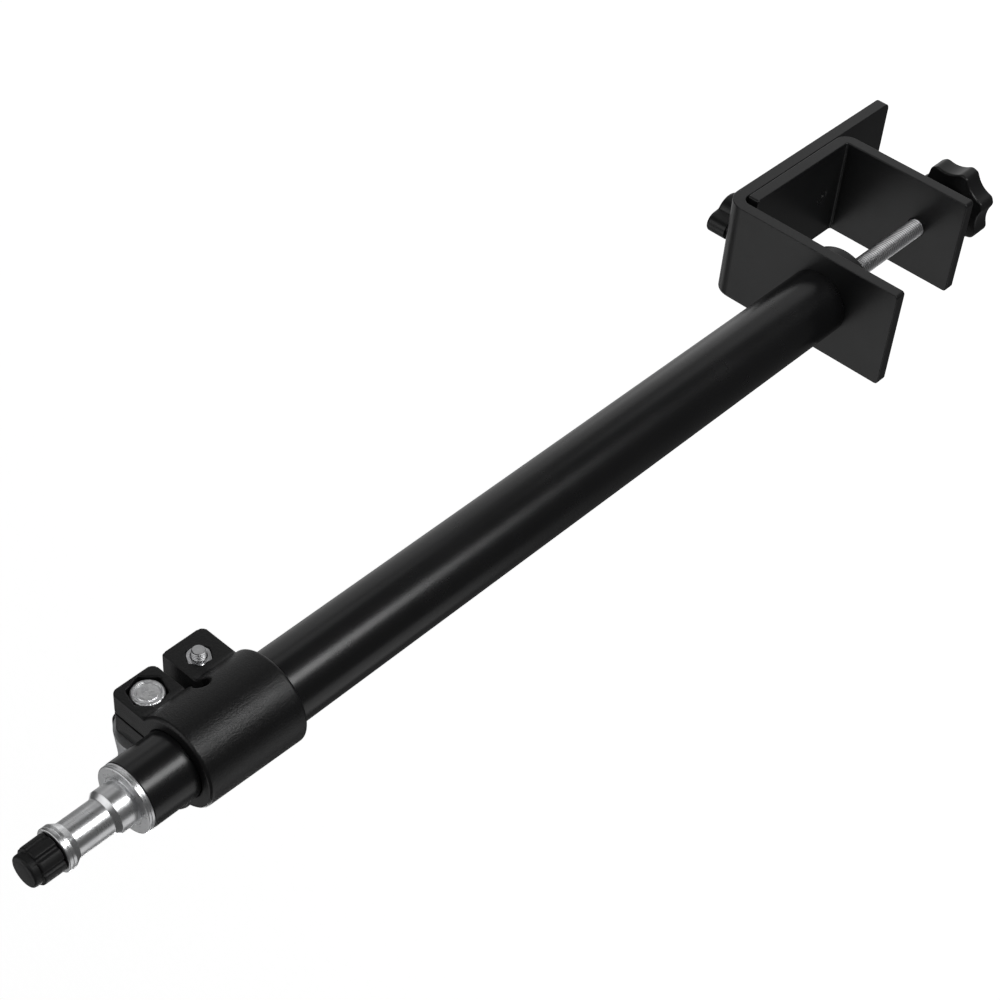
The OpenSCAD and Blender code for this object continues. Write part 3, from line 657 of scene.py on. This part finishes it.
for groove in pad["grooves"]:
    corners += [(groove + away, top + height, rounding)
                for away, height, rounding in pad["grooveSide"]]
rings = roundedRings(corners + [(0, top, 0)], 3)
makePiece("padFacing", [ringSkin(rings, pad["steps"])], "pad_facing", padRubber,
          at=(0, screwY, 0))
print("screw and pad made")


# Knobs: a seven-lobed one and two with wings, all with soft rims and a shallow dish outside
lobes = {"r": 17.6, "count": 7, "depth": 2.6, "hollowR": 12.5, "turn": math.radians(10)}
clampKnob = {"t": 9.7, "boss": 3.5, "bossR": 8.5, "boreR": 4.02, "floor": 2.2, "rim": 1.3,
             "innerRim": 1.0, "dishR": 10.5, "dish": 0.7}
backKnob = {"t": 9.7, "boss": 1.0, "bossR": 7.5, "boreR": 4.02, "floor": 2.2, "rim": 1.4,
            "innerRim": 0.25, "dishR": 5.2, "dish": 0.5, "hubR": 7.8, "wingR": 14.2,
            "wingW": 8.4, "turn": math.radians(83)}
lockKnob = {"t": 9, "rim": 1.5, "innerRim": 1.2, "dishR": 7.6, "dish": 0.6, "hubR": 11,
            "wingR": 21.5, "wingW": 9, "turn": math.radians(100), "boreR": 3.1, "pocket": 10.2,
            "pocketL": 5.1, "chamfer": 0.3, "beyondBolt": 0.2}
# Shared by the knobs: steps round, smoothing of the lobes and of the wings, how far a side's
# ends point inwards, chamfers of the bore and the boss, and the dish's sides
knobForm = {"steps": 240, "lobeSmooth": 4, "wingSmooth": 6, "inward": 7.0, "boreChamfer": 0.3,
            "bossChamfer": 0.4, "dishEdge": 0.4, "dishStep": 0.12, "dishSlope": 1.4,
            "dishMiddle": 2.0}


def lobeRule(angle):
    share = math.pi / lobes["count"]
    part = (angle + lobes["turn"] + share) % (2 * share) - share
    centre = lobes["r"] - lobes["depth"] + lobes["hollowR"]
    aside = centre * math.sin(part)
    if abs(aside) >= lobes["hollowR"]:
        return lobes["r"]
    return min(lobes["r"], centre * math.cos(part) - math.sqrt(lobes["hollowR"] ** 2 - aside ** 2))


def wingRule(knob):
    endR = knob["wingW"] / 2
    centre = knob["wingR"] - endR

    def rule(angle):
        across = abs(math.sin(angle - knob["turn"]))
        along = abs(math.cos(angle - knob["turn"]))
        if centre * across < endR * along:
            return centre * along + math.sqrt(endR ** 2 - (centre * across) ** 2)
        return max(knob["hubR"], endR / across)
    return rule


# Side of a knob over its outline, from its inner face to its outer one, and the dish
def knobSide(radii, knob, foot):
    top = foot + knob["t"]
    side = roundedRings([(-knobForm["inward"], foot, 0), (0, foot, knob["innerRim"]),
                         (0, top, knob["rim"]), (-knobForm["inward"], top, 0)], 6)
    dish = top - knob["dish"]
    return offsetRings(radii, side[1:-1]) + [
        (top, knob["dishR"] + knobForm["dishEdge"]), (top - knobForm["dishStep"], knob["dishR"]),
        (dish, knob["dishR"] - knobForm["dishSlope"]), (dish, knobForm["dishMiddle"]), (dish, 0)]


def bossKnobSkin(radii, knob):
    inside = knob["boss"] + knob["t"] - knob["floor"]
    boreChamfer, bossChamfer = knobForm["boreChamfer"], knobForm["bossChamfer"]
    rings = [(inside, 0), (inside, knob["boreR"]), (boreChamfer, knob["boreR"]),
             (0, knob["boreR"] + boreChamfer), (0, knob["bossR"] - bossChamfer),
             (bossChamfer, knob["bossR"]), (knob["boss"], knob["bossR"])]
    return ringSkin(rings + knobSide(radii, knob, knob["boss"]), knobForm["steps"])


radii = outline(knobForm["steps"], lobeRule, knobForm["lobeSmooth"])
makePiece("clampKnob", [bossKnobSkin(radii, clampKnob)], "clamp_knob", knobPlastic,
          "-Z", (0, screwY, high("clamp_knob").z))
backZ = middle("back_screw").z
radii = outline(knobForm["steps"], wingRule(backKnob), knobForm["wingSmooth"])
makePiece("backKnob", [bossKnobSkin(radii, backKnob)], "back_knob", knobPlastic,
          "Y", (0, low("back_knob").y, backZ))

foot, top = low("back_screw").y, high("back_screw").y
makePiece("backScrew", rodSkins(foot, top, screw, screw["backSteps"]), "back_screw",
          brightSteel, "Y", (0, 0, backZ))

washer = {"r": 9, "boreR": 4.1, "boreRounding": 0.1, "footRounding": 0.15, "rounding": 0.45,
          "steps": 96}
foot, top = low("back_washer").y, high("back_washer").y
rings = roundedRings([
    (washer["boreR"], foot, washer["boreRounding"]), (washer["r"], foot, washer["footRounding"]),
    (washer["r"], top, washer["rounding"]), (washer["boreR"], top, washer["boreRounding"])])
makePiece("backWasher", [ringSkin(rings, washer["steps"], looped=True)], "back_washer",
          zincSteel, "Y", (0, 0, backZ))

# Guide pin, its tail with a dimple riveted flush in the lower plate
pin = {
    "steps": 64,
    # Corners with heights from the tail and from the head
    "tail": [(0, 0.55, 0), (0.5, 0.5, 0.2), (1.25, 0.02, 0.2), (3, 0.01, 0.05)],
    "head": [(3, -5.1, 0), (4, -5.1, 0.1), (4, 0, 0.6), (0, 0, 0)],
}
rings = roundedRings(fromHeight(low("guide_pin").y, pin["tail"])
                     + fromHeight(high("guide_pin").y, pin["head"]))
makePiece("guidePin", [ringSkin(rings, pin["steps"])], "guide_pin", coatedSteel,
          "Y", (0, 0, middle("guide_pin").z))
print("knobs and pin made")


# Collar: moulded in one piece, so every edge is soft and the ears run into the wall in a fillet
collar = {"grid": 0.32, "smooth": 3, "fillet": 3.2, "filletSteps": 8, "earX": 8.65,
          "footWall": 17.7, "mouthWall": 17.3,
          # Lower and upper ends of the ears, all above the collar's foot but the last, which is
          # below its top
          "footEars": (1.2, 18.0), "mouthEars": (23.7, 1.0),
          # How deep a fillet's bar goes into the wall and the ear, so that they become one
          "wallRoot": (1.6, 1.2), "earRoot": (1.2, 1.0), "earEdge": 1.0}


# Bar with a hollow side, which fills the corner between an ear and the wall
def filletBar(side, lowZ, highZ, wallR):
    fillet, earX = collar["fillet"], collar["earX"]
    centre = Vector((earX + fillet, math.sqrt((wallR + fillet) ** 2 - (earX + fillet) ** 2)))
    meet = centre * wallR / (wallR + fillet)
    start = math.pi
    end = math.atan2(meet.y - centre.y, meet.x - centre.x) % (2 * math.pi)
    rim = []
    for bend in range(collar["filletSteps"] + 1):
        angle = start + (end - start) * bend / collar["filletSteps"]
        rim.append(centre + Vector(onCircle(1, angle)) * fillet)
    rim += [meet - Vector(collar["wallRoot"]),
            Vector((earX, centre.y)) - Vector(collar["earRoot"]),
            Vector((earX - collar["earEdge"], centre.y))]
    count = len(rim)
    points = [(side * spot.x, spot.y, height) for height in (lowZ, highZ) for spot in rim]
    faces = [(index, (index + 1) % count, (index + 1) % count + count, index + count)
             for index in range(count)]
    return points, faces + [tuple(range(count))[::-1], tuple(range(count, 2 * count))]


collarMesh = cleanCopy("lock_collar")
body = bmesh.new()
body.from_mesh(collarMesh)
foot, top = low("lock_collar").z, high("lock_collar").z
footEars = [foot + height for height in collar["footEars"]]
mouthEars = [foot + collar["mouthEars"][0], top - collar["mouthEars"][1]]
for side, ears, wall in ((1, footEars, "footWall"), (-1, footEars, "footWall"),
                         (1, mouthEars, "mouthWall")):
    points, faces = filletBar(side, *ears, collar[wall])
    verts = [body.verts.new(Vector(point) * mm) for point in points]
    for face in faces:
        body.faces.new([verts[index] for index in face])
bmesh.ops.recalc_face_normals(body, faces=body.faces)
body.to_mesh(collarMesh)
body.free()
collarPiece = bpy.data.objects.new("lockCollar", collarMesh)
bpy.context.scene.collection.objects.link(collarPiece)
grid = collarPiece.modifiers.new("grid", "REMESH")
grid.mode = "VOXEL"
grid.voxel_size = collar["grid"] * mm
soften = collarPiece.modifiers.new("soften", "SMOOTH")
soften.factor = 0.5
soften.iterations = collar["smooth"]
bpy.context.view_layer.update()
graph = bpy.context.evaluated_depsgraph_get()
softMesh = bpy.data.meshes.new_from_object(collarPiece.evaluated_get(graph))
collarPiece.modifiers.clear()
collarPiece.data = softMesh
settle(collarPiece, "stand", ["lock_collar"], collarPlastic, sharp=80)
print("collar made:", len(softMesh.polygons), "faces")


# Collar bolt: socket head, plain shank, threaded end beyond the nut
bolt = {"r": 2.5, "pitch": 0.8, "threadL": 9.0, "headR": 4.25, "headH": 5, "headRim": 0.45,
        "headFoot": 0.15, "face": 3.0, "socket": 4.0, "socketDepth": 2.5, "socketChamfer": 0.3,
        "socketEdge": 0.35, "drillTip": 0.8, "steps": 96}
foot, top = low("collar_bolt").x, high("collar_bolt").x
threadFoot = top - bolt["threadL"]
bottom = foot + bolt["socketDepth"]
rings = [(bottom + bolt["drillTip"], 0)]
rings += offsetRings(outline(bolt["steps"], hexagon(bolt["socket"])),
                     [(bottom, 0), (foot + bolt["socketChamfer"], 0), (foot, bolt["socketEdge"])])
rings += roundedRings([
    (bolt["face"], foot, 0), (bolt["headR"], foot, bolt["headRim"]),
    (bolt["headR"], foot + bolt["headH"], bolt["headFoot"]),
    (bolt["r"], foot + bolt["headH"], 0), (bolt["r"], threadFoot, 0)])[1:]
boltPlace = (0, *middle("collar_bolt").yz)
makePiece("collarBolt", [ringSkin(rings, bolt["steps"]),
                         threadSkin(threadFoot, top, bolt, bolt["steps"], startChamfer=False),
                         endDisc(top, bolt, bolt["steps"])],
          "collar_bolt", tipSteel, "X", boltPlace, 40)

nut = {"flats": 8, "bore": 2.55, "footBore": 0.3, "topBore": 0.45, "boreChamfer": 0.4,
       "chamfer": 0.05, "chamferSlope": 1.7, "chamferSteps": (0, 0.12, 0.25, 0.38), "steps": 96}
foot, top = low("collar_nut").x, high("collar_nut").x
flats = outline(nut["steps"], hexagon(nut["flats"]))


# Hexagon cut by the chamfer's cone at a given depth below a face
def nutRing(height, depth):
    reach = nut["flats"] / 2 + nut["chamfer"] + depth * nut["chamferSlope"]
    return height, [min(radius, reach) for radius in flats]


rings = [(foot, nut["bore"] + nut["footBore"])]
rings += [nutRing(foot + depth, depth) for depth in nut["chamferSteps"]]
rings += [nutRing(top - depth, depth) for depth in reversed(nut["chamferSteps"])]
rings += [(top, nut["bore"] + nut["topBore"]), (top - nut["boreChamfer"], nut["bore"]),
          (foot + nut["boreChamfer"], nut["bore"])]
makePiece("collarNut", [ringSkin(rings, nut["steps"], looped=True)], "collar_nut",
          zincSteel, "X", boltPlace, 25)


# Lock bolt: low round head with a rolled rim, square neck, threaded end
coach = {
    "r": 3, "pitch": 1.0, "threadL": 18, "headR": 5.9, "headH": 2.4, "seatChamfer": (0.2, 0.15),
    "neck": 6, "neckL": 2.9, "neckRun": 0.4, "neckCorner": 1.32, "steps": 96,
    # Corners with heights from the head's top
    "head": [(5.9, 0, 0.95), (4.55, 0, 0.15), (4.3, -0.42, 0.1), (3.95, -0.4, 0.12),
             (3.55, -0.06, 0.3), (0, -0.02, 0)],
}
foot, top = low("lock_bolt").x, high("lock_bolt").x
seat = top - coach["headH"]
threadTop = foot + coach["threadL"]


def squareRule(angle):
    part = (angle + math.pi / 4) % (math.pi / 2) - math.pi / 4
    return coach["neck"] / 2 * min(1 / math.cos(part), coach["neckCorner"])


square = outline(coach["steps"], squareRule)
inset, rise = coach["seatChamfer"]
rings = [(threadTop, coach["r"]), (seat - coach["neckL"] - coach["neckRun"], coach["r"]),
         (seat - coach["neckL"], square), (seat, square), (seat, coach["headR"] - inset),
         (seat + rise, coach["headR"])]
rings += roundedRings([(coach["headR"], seat, 0)] + fromHeight(top, coach["head"]))[1:]
lockPlace = (0, *middle("lock_bolt").yz)
makePiece("lockBolt", [startDisc(foot, coach, coach["steps"]),
                       threadSkin(foot, threadTop, coach, coach["steps"], endChamfer=False),
                       ringSkin(rings, coach["steps"])],
          "lock_bolt", boltSteel, "X", lockPlace, 40)

eased("lockSpacer", "lock_spacer", spacerAluminium, 0.35)
foot = high("lock_knob").x
inside = foot - low("lock_bolt").x + lockKnob["beyondBolt"]
rings = [(inside, 0), (inside, lockKnob["boreR"]), (lockKnob["pocketL"], lockKnob["boreR"])]
rings += offsetRings(outline(knobForm["steps"], hexagon(lockKnob["pocket"])), [
    (lockKnob["pocketL"], 0), (lockKnob["chamfer"], 0), (0, lockKnob["chamfer"])])
radii = outline(knobForm["steps"], wingRule(lockKnob), knobForm["wingSmooth"])
makePiece("lockKnob", [ringSkin(rings + knobSide(radii, lockKnob, 0), knobForm["steps"])],
          "lock_knob", knobPlastic, "-X", (foot, *lockPlace[1:]))
eased("lockNut", "lock_nut", insertBrass, 0.15, 2)
eased("baseScrew", "base_screw", zincSteel, 0.12, 2)
eased("guideBush", "guide_bush", bushPlastic, 0.4)
eased("tubePlug", "tube_plug", zincSteel, 0.4, 2)
print("collar's bolts and knob made")


# White floor far below and plain soft panels all round

ground = {"half": 40, "z": -2.4,  # metres
          "fibre": 40.0, "shade": (0.98, 0.98, 0.98), "white": (1.0, 1.0, 1.0), "rough": 0.9}
paper = Finish("paper")
fibre = paper.blend(paper.cloud(ground["fibre"], 2), ground["shade"], ground["white"])
floorMesh = bpy.data.meshes.new("floor")
floorMesh.from_pydata([(x * ground["half"], y * ground["half"], ground["z"])
                       for x, y in ((-1, -1), (1, -1), (1, 1), (-1, 1))], [], [(0, 1, 2, 3)])
floorMesh.materials.append(paper.close({
    "Base Color": fibre, "Roughness": ground["rough"], "Emission Color": fibre,
    "Emission Strength": 1.0}))
floor = bpy.data.objects.new("floor", floorMesh)
bpy.context.scene.collection.objects.link(floor)
floor.visible_glossy = False
floor.visible_diffuse = False

sky = bpy.data.worlds.new("sky")
sky.use_nodes = True
sky.node_tree.nodes["Background"].inputs["Color"].default_value = (1, 1, 1, 1)
sky.node_tree.nodes["Background"].inputs["Strength"].default_value = 1.0
sky.cycles_visibility.glossy = False
sky.cycles_visibility.diffuse = False
bpy.context.scene.world = sky

# Each panel: azimuth and elevation as seen from the part, distance, width, height, brightness
panels = {
    "mastStrip": (-36.5, -9.8, 1.5, 0.46, 0.88, 7.0),
    "sideWide": (90, -35, 1.7, 2.5, 1.2, 0.42),
    "lowWide": (50, -62, 1.7, 2.2, 1.2, 0.5),
    "highPanel": (147, 48, 1.7, 1.9, 0.85, 0.75),
    "edgePanel": (28, 54, 1.7, 2.4, 0.9, 1.0),
    "leftLow": (-130, -10.5, 1.7, 1.1, 1.2, 0.52),
    "headPanel": (33, -22, 1.7, 0.5, 0.5, 0.45),
    "spigotPanel": (42, -13, 1.7, 1.4, 0.6, 0.18),
    "backStrip": (172, -2, 1.7, 0.35, 0.6, 4.0),
    "backWide": (135, -4, 1.7, 0.9, 0.5, 0.6),
    "leftWide": (-168, -1, 1.7, 1.8, 0.5, 0.7),
}
# Dim panels on all six sides fill the shadows
fill = {"distance": 2.0, "side": 4.0, "brightness": 0.07}
for name, azimuth, elevation in (("front", -90, 0), ("right", 0, 0), ("back", 90, 0),
                                 ("left", 180, 0), ("over", 0, 90), ("under", 0, -90)):
    panels[name + "Fill"] = (azimuth, elevation, fill["distance"], fill["side"], fill["side"],
                             fill["brightness"])
aim = Vector((0, 0.02, 0.15))  # near the middle of the part, in metres
for name, (azimuth, elevation, distance, width, height, brightness) in panels.items():
    panel = bpy.data.lights.new(name, "AREA")
    panel.shape = "RECTANGLE"
    panel.size = width
    panel.size_y = height
    panel.energy = brightness * math.pi * width * height
    lamp = bpy.data.objects.new(name, panel)
    outward, rise = onCircle(1, math.radians(elevation))
    way = Vector((*onCircle(outward, math.radians(azimuth)), rise))
    lamp.location = aim + way * distance
    lamp.rotation_euler = way.to_track_quat("Z", "Y").to_euler()
    lamp.visible_camera = False
    bpy.context.scene.collection.objects.link(lamp)
print("stage set")
